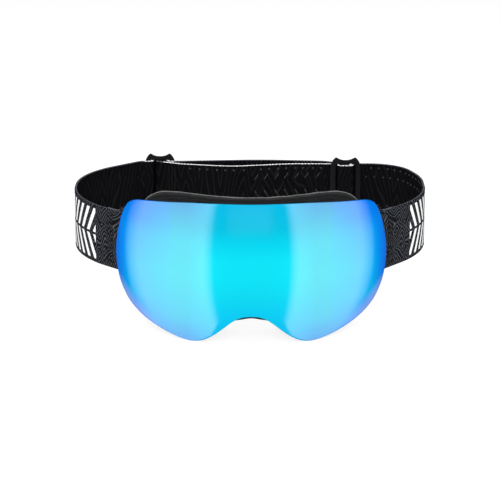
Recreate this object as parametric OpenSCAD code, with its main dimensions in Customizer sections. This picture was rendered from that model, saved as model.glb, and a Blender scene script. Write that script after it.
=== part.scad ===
// Ski goggles with a large toric lens on a magnetic carrier, a soft frame with layered
// face foam, pivoting strap arms, and an elastic strap in two halves joined by two sliders.
//
// Axes: +X to the right of someone who faces the lens, +Y from the lens towards the back
// of the head, +Z up. The origin is the middle of the brow contact of the face foam in X
// and Y, and the middle of the lens height in Z.

/* [Lens] */
// Radius of the lens across, at mid height
lens_radius_across = 98; // [96:0.5:100]
// Radius of the lens up and down
lens_radius_up = 125; // [115:1:140]
// Distance from the brow contact to the front of the lens
lens_forward = 48; // [46:0.5:50]
// Thickness of the outer lens
lens_thickness = 1.6; // [1.2:0.1:1.8]
// Thickness of the foam spacer between the two lenses
gasket_thickness = 3; // [2.5:0.1:3]
// Thickness of the inner lens
inner_lens_thickness = 1; // [0.8:0.1:1.2]
// Thickness of the carrier that holds the magnets
carrier_thickness = 2.6; // [2.4:0.1:2.8]
// Width of the carrier ring and of the inner lens's rim
rim_width = 4.2; // [3.8:0.1:4.4]

/* [Face foam] */
// Radius of the face contact, seen from above
face_radius = 96; // [90:1:104]
// Thickness of the fleece against the skin
fleece_thickness = 1.5; // [1:0.1:2]
// Thickness of the soft foam
soft_foam_thickness = 5.5; // [4:0.5:6]
// Thickness of the firm foam
firm_foam_thickness = 6; // [4:0.5:6]
// Thickness of the stiff face flange that carries the foam
flange_thickness = 2; // [1.5:0.1:2.2]
// How far the foam reaches inside the frame's opening
foam_overlap = 4; // [2:0.5:4]
// Radius of the tunnel for the bridge of the nose
nose_radius = 17; // [15:0.5:18]

/* [Strap] */
// Width of the strap webbing
strap_width = 40.5; // [36:0.5:40.5]
// Thickness of the strap webbing
strap_thickness = 1.7; // [1.4:0.1:1.7]
// Height of the strap's middle above the origin
strap_height = 8.9; // [8:0.1:11]
// Angle of the left strap arm from straight back
left_swing = 42.6; // [40:0.1:43]
// Angle of the right strap arm from straight back
right_swing = 37; // [36:0.1:39]
// Distance from the middle to the left side of the strap
left_reach = 121.8; // [119:0.1:123]
// Distance from the middle to the right side of the strap
right_reach = 119.9; // [118:0.1:122]

/* [Sliders] */
// Middle of the left slider across
left_slider_x = -66.4; // [-68:0.1:-65]
// Middle of the left slider front to back
left_slider_y = 169.5; // [168:0.1:171]
// Middle of the right slider across
right_slider_x = 68.4; // [67:0.1:70]
// Middle of the right slider front to back
right_slider_y = 156.6; // [155:0.1:158]
// Thickness of a slider
slider_thickness = 2.4; // [2:0.1:2.4]

/* [Hidden] */
$fn = 120;

// The lens surface is an arc turned about an upright axis behind the lens.
lens_axis_y = lens_radius_across - lens_forward;
lens_arc_middle = lens_radius_across - lens_radius_up;
gasket_depth = lens_thickness;
inner_lens_depth = gasket_depth + gasket_thickness;
carrier_depth = inner_lens_depth + inner_lens_thickness;
carrier_back_depth = carrier_depth + carrier_thickness;
frame_depth = carrier_back_depth + 0.3;
// The rear corner of the lens's side edges is trimmed off at this plane.
lens_edge_y = 11.9;

// Radii of the face foam layers about an upright axis behind the face.
fleece_back = face_radius + fleece_thickness;
soft_foam_back = fleece_back + soft_foam_thickness;
firm_foam_back = soft_foam_back + firm_foam_thickness;
flange_back = firm_foam_back + flange_thickness;

// Right halves of the outlines seen from the front, from the top middle to the bottom
// middle: the lens, the outside of the frame and the opening for the eyes.
lens_half = [[0, 47], [20, 46.9], [39, 46.2], [57, 44.3], [69, 42.6], [76.5, 40.8],
    [81.8, 37], [85.4, 30], [88, 20.5], [89.8, 9.5], [90, 0], [88.8, -10], [86, -19],
    [80.6, -28], [72, -35.2], [62, -40.4], [52, -44.3], [44, -46.4], [38, -46.8],
    [31.5, -45.2], [25, -41.2], [18, -35.2], [12, -30], [6, -26.9], [0, -26.3]];
frame_half = [[0, 42.4], [18, 42.7], [36, 43.3], [50, 43.3], [60, 41.6], [67, 37.9],
    [72, 32], [75.2, 23], [76.7, 12], [76.8, 1], [75.6, -9], [72.4, -18.5], [66.5, -27.5],
    [58, -35], [49, -40], [41, -42.3], [34, -42.2], [27, -40.4], [20.5, -37], [14, -33.2],
    [7, -31.3], [0, -31]];
eye_half = [[0, 38], [18, 38.3], [36, 38.8], [48, 38.6], [57, 37], [63.5, 33.2],
    [67.8, 27.5], [70.6, 20], [71.9, 10], [72, 1], [70.8, -8], [67.8, -16.5], [62, -25],
    [54, -31.5], [46, -35.9], [39, -37.6], [32, -35.8], [25, -30.2], [18, -22.4],
    [10, -15.8], [0, -13.6]];

function left_half(half) = [for (i = [len(half) - 2:-1:1]) [-half[i][0], half[i][1]]];
function curve_point(a, b, c, d, t) =
    0.5 * (2 * b + (c - a) * t + (2 * a - 5 * b + 4 * c - d) * t * t
    + (3 * b - a - 3 * c + d) * t * t * t);
function closed_curve(points, steps = 4) = let (n = len(points))
    [for (i = [0:n - 1]) for (k = [0:steps - 1])
        curve_point(points[(i + n - 1) % n], points[i], points[(i + 1) % n],
            points[(i + 2) % n], k / steps)];
function outline(half) = closed_curve(concat(half, left_half(half)));
function direction(a, b) = (b - a) / norm(b - a);
// Moves every point of a clockwise closed outline outwards by a distance.
function grown(points, distance) = let (n = len(points))
    [for (i = [0:n - 1]) let (along = direction(points[(i + n - 1) % n], points[(i + 1) % n]))
        points[i] + distance * [-along[1], along[0]]];

lens_outline = outline(lens_half);
frame_outline = outline(frame_half);
eye_outline = outline(eye_half);
rim_outline = grown(eye_outline, rim_width);

// Strap arms: an upright pin on each side of the frame and a bar for the strap's loop.
pin_x = 80.2;
pin_y = 10.9;
pin_radius = 1;
pin_play = 0.05;
barrel_radius = 2.3;
arm_length = 6.9;
bar_radius = 1.4;
loop_gap = 0.2;
arm_end_thickness = 2.4;
arm_plate_width = 3;
arm_tip_radius = 1.9;
strap_play = 0.6;
strap_low = strap_height - strap_width / 2;
strap_top = strap_height + strap_width / 2;
arm_low = strap_low - strap_play - arm_end_thickness;
arm_top = strap_top + strap_play + arm_end_thickness;
lug_height = 4;
lug_lows = [-6, 24];
lug_play = 0.15;

// Sliders: half sizes, and the window that the straps pass through.
slider_quarter = [[10.9, 17.3], [10.6, 19.9], [9.7, 22.1], [8.4, 23.9], [7.2, 24.9],
    [6.3, 24.8], [4.6, 23.9], [2.4, 23.2], [0, 23]];
window_half_width = 7.1;
window_half_height = strap_width / 2 + 0.6;
middle_bar_radius = 1.3;

half_thickness = strap_thickness / 2;
loop_radius = bar_radius + loop_gap + half_thickness;
slider_loop_radius = middle_bar_radius + loop_gap + half_thickness;
// Middle of the running strap beside a slider's side bars, and over its middle bar.
run_offset = slider_thickness / 2 + 0.25 + half_thickness;
rise_offset = slider_loop_radius + 2 * half_thickness + 0.2;
rise_x = 5.15;
fold_gap = strap_thickness + 0.1;
fold_length = 15;

// A route is a list of [x, y, radius]: straight lines with a round corner at each point.
function corner(a, b, c) = let (
    to_a = direction([b[0], b[1]], [a[0], a[1]]), to_c = direction([b[0], b[1]], [c[0], c[1]]),
    half_angle = acos(to_a * to_c) / 2, middle = direction([0, 0], to_a + to_c),
    centre = [b[0], b[1]] + middle * b[2] / sin(half_angle),
    from = [b[0], b[1]] + to_a * b[2] / tan(half_angle) - centre,
    turn = (180 - 2 * half_angle) * sign(to_a[1] * to_c[0] - to_a[0] * to_c[1]),
    steps = ceil(abs(turn) / 9))
    [for (k = [0:steps]) let (angle = turn * k / steps)
        centre + [from[0] * cos(angle) - from[1] * sin(angle),
            from[0] * sin(angle) + from[1] * cos(angle)]];
function rounded_route(route) = let (n = len(route)) concat(
    [[route[0][0], route[0][1]]],
    [for (i = [1:n - 2]) each corner(route[i - 1], route[i], route[i + 1])],
    [[route[n - 1][0], route[n - 1][1]]]);
function side_of(path, distance) = let (n = len(path))
    [for (i = [0:n - 1]) let (
        before = direction(path[max(i - 1, 0)], path[max(i - 1, 0) + 1]),
        after = direction(path[min(i, n - 2)], path[min(i, n - 2) + 1]),
        middle = direction([0, 0], before + after))
        path[i] + distance / (middle * after) * [-middle[1], middle[0]]];
function reversed(list) = [for (i = [len(list) - 1:-1:0]) list[i]];

// Points of a strap end given along the strap's pull and across it, towards the head.
function arm_bar(side, swing) =
    [side * (pin_x + arm_length * sin(swing)), pin_y + arm_length * cos(swing)];
function arm_point(side, swing, along, inward) = arm_bar(side, swing)
    + along * [side * sin(swing), cos(swing)] + inward * [-side * cos(swing), sin(swing)];
function with_radius(point, radius) = [point[0], point[1], radius];
function arm_end(side, swing) = [
    with_radius(arm_point(side, swing, fold_length, fold_gap - loop_radius), 0),
    with_radius(arm_point(side, swing, 7, fold_gap - loop_radius), 4),
    with_radius(arm_point(side, swing, 2, loop_radius + 0.05), 2),
    with_radius(arm_point(side, swing, -loop_radius, loop_radius), loop_radius - 0.1),
    with_radius(arm_point(side, swing, -loop_radius, -loop_radius), loop_radius - 0.1)];
// Where the pull of an arm meets the side of the strap's loop.
function side_corner(side, swing, reach) = let (
    start = arm_point(side, swing, 0, -loop_radius),
    run = (reach - abs(start[0])) / sin(swing))
    start + run * [side * sin(swing), cos(swing)];

// A slider's points, seen from its own middle. The right slider is the left one turned
// half a turn, because its straps lie the other way in and out.
function at_slider(middle, turned, x, y, radius) =
    [middle[0] + (turned ? -x : x), middle[1] + (turned ? -y : y), radius];
left_middle = [left_slider_x, left_slider_y];
right_middle = [right_slider_x, right_slider_y];
function woven(middle, turned) = [
    at_slider(middle, turned, -rise_x, -run_offset, 2.2),
    at_slider(middle, turned, -rise_x, rise_offset, 2.2),
    at_slider(middle, turned, rise_x, rise_offset, 2.2),
    at_slider(middle, turned, rise_x, -run_offset, 2.2)];
end_x = 15.9;
end_y = -10.9;
end_start = [-slider_loop_radius, -slider_loop_radius];
end_along = direction(end_start, [end_x, end_y]);
fold_start = end_start + fold_gap * [-end_along[1], end_along[0]];
fold_slope = end_along[1] / end_along[0];
fold_x = 2.6;
fold_end_x = 14;
function fold_y(x) = fold_start[1] + (x - fold_start[0]) * fold_slope;
function slider_end(middle, turned) = [
    at_slider(middle, turned, end_x, end_y, 20),
    at_slider(middle, turned, end_start[0], end_start[1], 1.9),
    at_slider(middle, turned, -slider_loop_radius, slider_loop_radius, 2.3),
    at_slider(middle, turned, fold_x, slider_loop_radius, 2.2),
    at_slider(middle, turned, fold_x, fold_y(fold_x), 1.3),
    at_slider(middle, turned, fold_end_x, fold_y(fold_end_x), 0)];

left_run_y = left_slider_y - run_offset;
right_run_y = right_slider_y + run_offset;
// The left half runs through the left slider, crosses the back outside, and ends on the
// right slider. The right half does the opposite and crosses inside.
left_route = concat(arm_end(-1, left_swing),
    [with_radius(side_corner(-1, left_swing, left_reach), 95),
        [-left_reach, 128.4, 74], [-80.5, left_run_y, 6]],
    woven(left_middle, false),
    [[-50, left_run_y, 30], [6, 171.4, 180]],
    slider_end(right_middle, true));
right_route = concat(arm_end(1, right_swing),
    [with_radius(side_corner(1, right_swing, right_reach), 95),
        [right_reach + 0.3, 117, 80], [106.3, right_run_y, 30]],
    woven(right_middle, true),
    [[28, right_run_y, 40], [-15, 150.2, 50]],
    slider_end(left_middle, false));

// Magnets: places on the carrier ring, counted along its outline from the top middle.
magnet_radius = 1.5;
magnet_length = 1.5;
magnet_stops = [5, 14, 39, 63, 97, 121, 146, 155];
magnet_line = grown(eye_outline, rim_width / 2);
frame_magnet_depth = frame_depth + 0.4;

// Vents: slots through the top wall and the two lobes, on an arc about one middle.
vent_middle_y = 70;
vent_radius = 93.5;
top_vent_angles = [-31.5, -19, -6.5, 6.5, 19, 31.5];
lobe_vent_angles = [-29, -21, 21, 29];
top_vent_size = [11, 6.5];
lobe_vent_size = [8, 6];
vent_foam_thickness = 1.8;
vent_foam_depth = frame_depth + 2;

// Nose tunnel: a slanting cylinder under the bridge of the frame.
nose_slope = 27.6;
nose_front_y = -36;
nose_front_z = -31;

thread_size = [0.5, 0.35, strap_width - 4];
thread_gap = 0.05;

module prism(points, front = -70, back = 60)
    translate([0, back, 0]) rotate([90, 0, 0]) linear_extrude(back - front) polygon(points);

// Everything behind the lens surface at a depth below its front.
module behind_lens(depth)
    translate([0, lens_axis_y, 0]) rotate_extrude()
    intersection() {
        translate([lens_arc_middle, 0]) circle(r = lens_radius_up - depth);
        translate([0, -60]) square([lens_radius_across, 120]);
    }

module lens_layer(points, front_depth, back_depth, back = 30)
    intersection() {
        prism(points, back = back);
        difference() {
            behind_lens(front_depth);
            behind_lens(back_depth);
        }
    }

module face_cylinder(radius)
    translate([0, face_radius, -80]) cylinder(r = radius, h = 160);

module nose_tunnel()
    translate([0, nose_front_y, nose_front_z])
    rotate([-90 + nose_slope, 0, 0])
    translate([0, nose_radius, -20]) cylinder(r = nose_radius, h = 120);

module face_layer(outside, inside, near, far)
    difference() {
        intersection() {
            prism(outside);
            face_cylinder(far);
        }
        face_cylinder(near);
        prism(inside, back = 70);
        nose_tunnel();
    }

// Puts its children on the lens surface with +Z pointing out of it.
module on_lens(x, z, depth) {
    tilt = asin(z / (lens_radius_up - depth));
    reach = lens_arc_middle + (lens_radius_up - depth) * cos(tilt);
    translate([0, lens_axis_y, 0]) rotate([0, 0, asin(x / reach)])
        translate([0, -reach, z]) rotate([90 - tilt, 0, 0]) children();
}

module magnets(depth)
    for (stop = magnet_stops)
        on_lens(magnet_line[stop][0], magnet_line[stop][1], depth)
            cylinder(r = magnet_radius, h = magnet_length, $fn = 48);

module vents(angles, size, low, high)
    for (angle = angles)
        translate([0, vent_middle_y, low]) rotate([0, 0, angle])
            translate([-size[0] / 2, -vent_radius - size[1] / 2, 0])
            cube([size[0], size[1], high - low]);

module vent_foam(left, right, low, high)
    difference() {
        intersection() {
            prism(eye_outline);
            behind_lens(vent_foam_depth);
            translate([left, -60, low]) cube([right - left, 100, high - low]);
        }
        prism(grown(eye_outline, -vent_foam_thickness), back = 70);
        face_cylinder(flange_back + 0.2);
        nose_tunnel();
    }

module lugs(side)
    for (low = lug_lows) {
        translate([side * pin_x, pin_y, low]) cylinder(r = barrel_radius, h = lug_height);
        translate([min(side * 71.5, side * pin_x), pin_y - 2, low])
            cube([pin_x - 71.5, 4, lug_height]);
    }

module pin_hole(side, radius)
    translate([side * pin_x, pin_y, arm_low - 1]) cylinder(r = radius, h = arm_top - arm_low + 2);

module strap(route) {
    path = rounded_route(route);
    translate([0, 0, strap_low]) linear_extrude(strap_width)
        polygon(concat(side_of(path, half_thickness), reversed(side_of(path, -half_thickness))));
}

// One end of an arm, from low to high around the pin, with its plate out to the bar.
module arm_end_plate(side, swing, low, high, plate_low)
    difference() {
        union() {
            translate([side * pin_x, pin_y, low]) cylinder(r = barrel_radius, h = high - low);
            translate([side * pin_x, pin_y, plate_low]) rotate([0, 0, -side * swing]) {
                translate([0, arm_length, 0]) cylinder(r = arm_tip_radius, h = arm_end_thickness);
                translate([-arm_plate_width / 2, 0, 0])
                    cube([arm_plate_width, arm_length, arm_end_thickness]);
            }
        }
        pin_hole(side, pin_radius + pin_play);
    }

module arm(side, swing) {
    bar = arm_bar(side, swing);
    translate([bar[0], bar[1], arm_low]) cylinder(r = bar_radius, h = arm_top - arm_low);
    arm_end_plate(side, swing, arm_low, lug_lows[0] - lug_play, arm_low);
    arm_end_plate(side, swing, lug_lows[1] + lug_height + lug_play, arm_top,
        arm_top - arm_end_thickness);
}

module arm_pin(side)
    translate([side * pin_x, pin_y, arm_low + 0.3])
    cylinder(r = pin_radius, h = arm_top - arm_low - 0.6);

module slider(middle) {
    right = concat(reversed(slider_quarter), [for (p = slider_quarter) [p[0], -p[1]]]);
    outline = concat(right, [for (i = [len(right) - 2:-1:1]) [-right[i][0], right[i][1]]]);
    translate([middle[0], middle[1], strap_height]) {
        difference() {
            translate([0, slider_thickness / 2, 0]) rotate([90, 0, 0])
                linear_extrude(slider_thickness) polygon(outline);
            cube([2 * window_half_width, slider_thickness + 2, 2 * window_half_height],
                center = true);
        }
        cylinder(r = middle_bar_radius, h = 2 * window_half_height + 1, center = true);
    }
}

// Three rows of thread along a straight stretch of strap, standing on one face of it.
module stitching(start, along, across)
    for (row = [0:2]) {
        place = start + (row * 2.5) * along
            + (half_thickness + thread_gap + thread_size[1] / 2) * across;
        translate([place[0], place[1], strap_height])
            rotate([0, 0, atan2(along[1], along[0])]) cube(thread_size, center = true);
    }

module arm_stitching(side, swing)
    stitching(arm_point(side, swing, 8, -loop_radius), [side * sin(swing), cos(swing)],
        [side * cos(swing), -sin(swing)]);

module slider_stitching(middle, turned) {
    way = turned ? -1 : 1;
    stitching(middle + way * (end_start + 10.5 * end_along), way * end_along,
        way * [end_along[1], -end_along[0]]);
}

module outer_lens() color("deepskyblue")
    lens_layer(lens_outline, 0, lens_thickness, lens_edge_y);

module lens_gasket() color("dimgray")
    difference() {
        lens_layer(rim_outline, gasket_depth, inner_lens_depth);
        prism(grown(eye_outline, 0.6), back = 40);
    }

module inner_lens() color("lightcyan") lens_layer(rim_outline, inner_lens_depth, carrier_depth);

module lens_carrier() color("black")
    difference() {
        lens_layer(rim_outline, carrier_depth, carrier_back_depth);
        prism(eye_outline, back = 40);
        magnets(carrier_back_depth);
    }

module lens_magnets() color("silver") magnets(carrier_back_depth);

module main_frame() color("darkslategray")
    difference() {
        union() {
            difference() {
                intersection() {
                    prism(frame_outline);
                    behind_lens(frame_depth);
                }
                prism(eye_outline, back = 70);
            }
            lugs(-1);
            lugs(1);
        }
        face_cylinder(flange_back);
        nose_tunnel();
        vents(top_vent_angles, top_vent_size, 30, 50);
        vents(lobe_vent_angles, lobe_vent_size, -50, -30);
        magnets(frame_magnet_depth + magnet_length);
        pin_hole(-1, pin_radius);
        pin_hole(1, pin_radius);
    }

module frame_magnets() color("silver") magnets(frame_magnet_depth + magnet_length);

module top_vent_foam() color("gray") vent_foam(-58, 58, 25, 50);
module left_vent_foam() color("gray") vent_foam(-56, -25, -50, -27);
module right_vent_foam() color("gray") vent_foam(25, 56, -50, -27);

module face_flange() color("black")
    face_layer(grown(frame_outline, -0.3), grown(eye_outline, -foam_overlap),
        firm_foam_back, flange_back);
module firm_face_foam() color("dimgray")
    face_layer(frame_outline, grown(eye_outline, -foam_overlap), soft_foam_back, firm_foam_back);
module soft_face_foam() color("gray")
    face_layer(frame_outline, grown(eye_outline, -foam_overlap), fleece_back, soft_foam_back);
module face_fleece() color("darkgray")
    face_layer(frame_outline, grown(eye_outline, -foam_overlap), face_radius, fleece_back);

module left_arm() color("black") arm(-1, left_swing);
module right_arm() color("black") arm(1, right_swing);
module left_arm_pin() color("silver") arm_pin(-1);
module right_arm_pin() color("silver") arm_pin(1);

module left_strap() color("midnightblue") strap(left_route);
module right_strap() color("darkslateblue") strap(right_route);
module left_slider() color("black") slider(left_middle);
module right_slider() color("black") slider(right_middle);

module left_arm_stitching() color("white") arm_stitching(-1, left_swing);
module right_arm_stitching() color("white") arm_stitching(1, right_swing);
module left_slider_stitching() color("white") slider_stitching(left_middle, false);
module right_slider_stitching() color("white") slider_stitching(right_middle, true);

outer_lens();
lens_gasket();
inner_lens();
lens_carrier();
lens_magnets();
main_frame();
frame_magnets();
top_vent_foam();
left_vent_foam();
right_vent_foam();
face_flange();
firm_face_foam();
soft_face_foam();
face_fleece();
left_arm();
right_arm();
left_arm_pin();
right_arm_pin();
left_strap();
right_strap();
left_slider();
right_slider();
left_arm_stitching();
right_arm_stitching();
left_slider_stitching();
right_slider_stitching();
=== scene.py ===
from math import acos, ceil, copysign, cos, pi, radians, sin, tan

import bmesh
import bpy
import numpy as np
from mathutils import Matrix, Vector, noise


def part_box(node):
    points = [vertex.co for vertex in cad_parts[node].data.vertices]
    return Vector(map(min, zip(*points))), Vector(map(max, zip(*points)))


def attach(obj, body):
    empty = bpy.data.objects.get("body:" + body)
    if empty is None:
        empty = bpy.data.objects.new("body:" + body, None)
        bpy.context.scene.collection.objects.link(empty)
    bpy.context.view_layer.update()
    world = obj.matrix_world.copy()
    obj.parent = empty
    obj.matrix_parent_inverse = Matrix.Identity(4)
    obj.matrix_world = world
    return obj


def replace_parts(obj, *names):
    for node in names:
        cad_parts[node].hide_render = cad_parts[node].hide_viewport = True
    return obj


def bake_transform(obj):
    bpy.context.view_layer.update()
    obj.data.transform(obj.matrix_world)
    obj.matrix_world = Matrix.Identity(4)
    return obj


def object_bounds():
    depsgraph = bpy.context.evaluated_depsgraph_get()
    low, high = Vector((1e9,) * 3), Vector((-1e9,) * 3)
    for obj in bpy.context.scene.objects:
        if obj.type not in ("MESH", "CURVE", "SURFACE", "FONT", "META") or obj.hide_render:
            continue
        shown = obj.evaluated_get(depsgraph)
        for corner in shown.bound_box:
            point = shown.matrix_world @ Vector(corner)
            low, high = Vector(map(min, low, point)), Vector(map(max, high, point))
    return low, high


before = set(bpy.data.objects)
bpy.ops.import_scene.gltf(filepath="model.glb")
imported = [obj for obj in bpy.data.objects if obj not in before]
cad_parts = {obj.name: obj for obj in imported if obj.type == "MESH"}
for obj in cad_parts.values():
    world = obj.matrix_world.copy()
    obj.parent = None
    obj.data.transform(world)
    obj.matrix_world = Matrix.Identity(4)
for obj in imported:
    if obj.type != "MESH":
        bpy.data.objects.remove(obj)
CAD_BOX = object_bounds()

MM = 0.001
LEFT, RIGHT = -1, 1


def middle_of(node):
    """Middle of a CAD node's box."""
    low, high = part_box(node)
    return (low + high) / 2


def z_span(node):
    """Lowest and highest Z of a CAD node."""
    low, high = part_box(node)
    return low.z, high.z


# ---- sizes, in metres
# The lens surface is an arc turned about an upright axis behind the lens.
LENS_RADIUS_ACROSS = 98 * MM
LENS_RADIUS_UP = 125 * MM
LENS_AXIS_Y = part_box("outer_lens")[0].y + LENS_RADIUS_ACROSS
LENS_ARC_MIDDLE = LENS_RADIUS_ACROSS - LENS_RADIUS_UP
LENS_HALF_WIDTH, LENS_HALF_HEIGHT = 90 * MM, 47 * MM
LENS_BACK = 1.6 * MM
GASKET_BACK = 4.6 * MM
INNER_LENS_BACK = 5.6 * MM
CARRIER_BACK = 8.05 * MM
FRAME_FRONT = 8.5 * MM
RIM_WIDTH = 4.2 * MM
SPACER_INSET = 0.6 * MM

# Radii of the face foam layers about an upright axis behind the face.
FACE_AXIS_Y = 96 * MM
FLEECE_NEAR = 96 * MM
FLEECE_BACK = 97.5 * MM
SOFT_FOAM_BACK = 103 * MM
FIRM_FOAM_BACK = 109 * MM
FLANGE_BACK = 111 * MM
FOAM_OVERLAP = 4 * MM

# The tunnel for the bridge of the nose: a slanting cylinder under the frame.
NOSE_RADIUS = 17 * MM
NOSE_SLOPE = radians(27.6)
NOSE_FRONT = (-36 * MM, -31 * MM)

# Right halves of the outlines seen from the front, in millimetres, from the top middle to
# the bottom middle: the lens, the outside of the frame and the opening for the eyes.
LENS_HALF = [(0, 47), (20, 46.9), (39, 46.2), (57, 44.3), (69, 42.6), (76.5, 40.8),
    (81.8, 37), (85.4, 30), (88, 20.5), (89.8, 9.5), (90, 0), (88.8, -10), (86, -19),
    (80.6, -28), (72, -35.2), (62, -40.4), (52, -44.3), (44, -46.4), (38, -46.8),
    (31.5, -45.2), (25, -41.2), (18, -35.2), (12, -30), (6, -26.9), (0, -26.3)]
FRAME_HALF = [(0, 42.4), (18, 42.7), (36, 43.3), (50, 43.3), (60, 41.6), (67, 37.9),
    (72, 32), (75.2, 23), (76.7, 12), (76.8, 1), (75.6, -9), (72.4, -18.5), (66.5, -27.5),
    (58, -35), (49, -40), (41, -42.3), (34, -42.2), (27, -40.4), (20.5, -37), (14, -33.2),
    (7, -31.3), (0, -31)]
EYE_HALF = [(0, 38), (18, 38.3), (36, 38.8), (48, 38.6), (57, 37), (63.5, 33.2),
    (67.8, 27.5), (70.6, 20), (71.9, 10), (72, 1), (70.8, -8), (67.8, -16.5), (62, -25),
    (54, -31.5), (46, -35.9), (39, -37.6), (32, -35.8), (25, -30.2), (18, -22.4),
    (10, -15.8), (0, -13.6)]
OUTLINE_STEPS = 120

# Vent slots: angle about one middle, size across and front to back.
VENT_MIDDLE_Y = 70 * MM
VENT_RADIUS = 93.5 * MM
TOP_VENTS = (-31.5, -19, -6.5, 6.5, 19, 31.5)
LOBE_VENTS = (-29, -21, 21, 29)
TOP_VENT_SIZE = (11 * MM, 6.5 * MM)
LOBE_VENT_SIZE = (8 * MM, 6 * MM)
CUTTER_REACH = (30 * MM, 52 * MM)
VENT_CORNER = 1.6 * MM
VENT_FOAM_THICKNESS = 1.8 * MM
VENT_FOAM_GAP = 0.05 * MM
VENT_FOAM_FRONT = FRAME_FRONT + 2 * MM
VENT_FOAM_BACK_GAP = 0.3 * MM

# Strap arms.
PIN_RADIUS = 1 * MM
BORE_PLAY = 0.05 * MM
BARREL_RADIUS = 2.3 * MM
ARM_LENGTH = 6.9 * MM
BAR_RADIUS = 1.4 * MM
BAR_INSET = 0.2 * MM
ARM_END_THICKNESS = 2.4 * MM
ARM_TIP_RADIUS = 1.9 * MM
LUG_HEIGHT = 4 * MM
LUG_LOWS = (-6 * MM, 24 * MM)
LUG_PLAY = 0.15 * MM
LUG_ROOT_X = 74 * MM
LUG_ROOT_Y = (-2.9 * MM, 2.6 * MM)
SWING = {LEFT: radians(42.6), RIGHT: radians(37)}

# Straps: the band, and how far its loops and runs stand off what they pass.
STRAP_THICKNESS = 1.7 * MM
HALF_THICKNESS = STRAP_THICKNESS / 2
LOOP_GAP = 0.2 * MM
LOOP_RADIUS = BAR_RADIUS + LOOP_GAP + HALF_THICKNESS
STRAP_LOW, STRAP_TOP = z_span("left_strap")
STRAP_HEIGHT = (STRAP_LOW + STRAP_TOP) / 2
REACH = {LEFT: 121.8 * MM, RIGHT: 119.9 * MM}
SIDE_CORNER_RADIUS = 95 * MM
FOLD_GAP = STRAP_THICKNESS + 0.1 * MM
FOLD_LENGTH = 15 * MM
STATION = 1.2 * MM
ARC_STEP = radians(6)

# Sliders: right upper quarter of the plate in millimetres, and its window and bar.
SLIDER_QUARTER = [(10.9, 17.3), (10.6, 19.9), (9.7, 22.1), (8.4, 23.9), (7.2, 24.9),
    (6.3, 24.8), (4.6, 23.9), (2.4, 23.2), (0, 23)]
SLIDER_THICKNESS = 2.4 * MM
WINDOW = (7.1 * MM, 20.4 * MM)
WINDOW_CORNER = 1.0 * MM
MIDDLE_BAR_RADIUS = 1.3 * MM
SLIDER_LOOP = MIDDLE_BAR_RADIUS + LOOP_GAP + HALF_THICKNESS
RUN_OFFSET = SLIDER_THICKNESS / 2 + 0.25 * MM + HALF_THICKNESS
RISE_OFFSET = SLIDER_LOOP + 2 * HALF_THICKNESS + 0.2 * MM
RISE_X = 5.15 * MM

PIN = {LEFT: middle_of("left_arm_pin"), RIGHT: middle_of("right_arm_pin")}
SLIDER = {LEFT: middle_of("left_slider"), RIGHT: middle_of("right_slider")}
RUN_Y = {LEFT: SLIDER[LEFT].y - RUN_OFFSET, RIGHT: SLIDER[RIGHT].y + RUN_OFFSET}
SIDE_NAME = {LEFT: "left", RIGHT: "right"}
ARM_BODY = {LEFT: "arm_left", RIGHT: "arm_right"}
SLIDER_BODY = {LEFT: "slider_left", RIGHT: "slider_right"}

# ---- camera, light and floor
CAMERA_PLACE = Vector((-0.0008, -1.4489, 0.3948))
CAMERA_TARGET = Vector((-0.0008, 0, 0.0066))
CAMERA_LENS = 163.6
SENSOR_WIDTH = 36

FLOOR_HALF = 4.0
FLOOR_DROP = 0.2 * MM
FLOOR_GLOW = 0.86
ROOM_LIGHT = 0.02


def linked(name, data):
    """A new object of the scene that holds some data."""
    piece = bpy.data.objects.new(name, data)
    bpy.context.scene.collection.objects.link(piece)
    return piece


def aim(piece, place, target):
    piece.location = place
    piece.rotation_euler = (target - place).to_track_quat("-Z", "Y").to_euler()


def camera():
    data = bpy.data.cameras.new("camera")
    data.lens = CAMERA_LENS
    data.sensor_width = SENSOR_WIDTH
    piece = linked("camera", data)
    aim(piece, CAMERA_PLACE, CAMERA_TARGET)
    bpy.context.scene.camera = piece


def softbox(name, place, size, power):
    """A rectangular light that faces the goggles and shows in no mirror image."""
    data = bpy.data.lights.new(name, "AREA")
    data.shape = "RECTANGLE"
    data.size, data.size_y = size
    data.energy = power
    piece = linked(name, data)
    aim(piece, Vector(place), Vector())
    piece.visible_camera = False
    piece.visible_glossy = False


# Walls beside the goggles: their glow is full between a fade at the front and one at the back.
WALL_X = 1.2
WALL_FRONT, WALL_FULL, WALL_BACK = -2.1, -1.55, 0.8
WALL_HALF_HEIGHT = 2.2
WALL_GLOW = 1.1


def side_wall(name, side, fade_start, fade_end):
    """A tall wall that glows, which the lens mirrors as a band with soft edges."""
    made = Shade(name, Base_Color=(0, 0, 0, 1), Emission_Color=(1, 1, 1, 1))
    _, y, _ = made.parts(made.place())
    front = made.range(y, WALL_FRONT, WALL_FULL, 0, WALL_GLOW)
    back = made.range(y, fade_end, fade_start)
    made.set("Emission Strength", made.times(front, back))
    low, high = -WALL_HALF_HEIGHT, WALL_HALF_HEIGHT
    edges = (WALL_FRONT, low), (WALL_BACK, low), (WALL_BACK, high), (WALL_FRONT, high)
    corners = [(side * WALL_X, y, z) for y, z in edges]
    piece = mesh_piece(name, corners, [(0, 1, 2, 3)], [made.material])
    piece.visible_camera = False
    piece.visible_shadow = False


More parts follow.
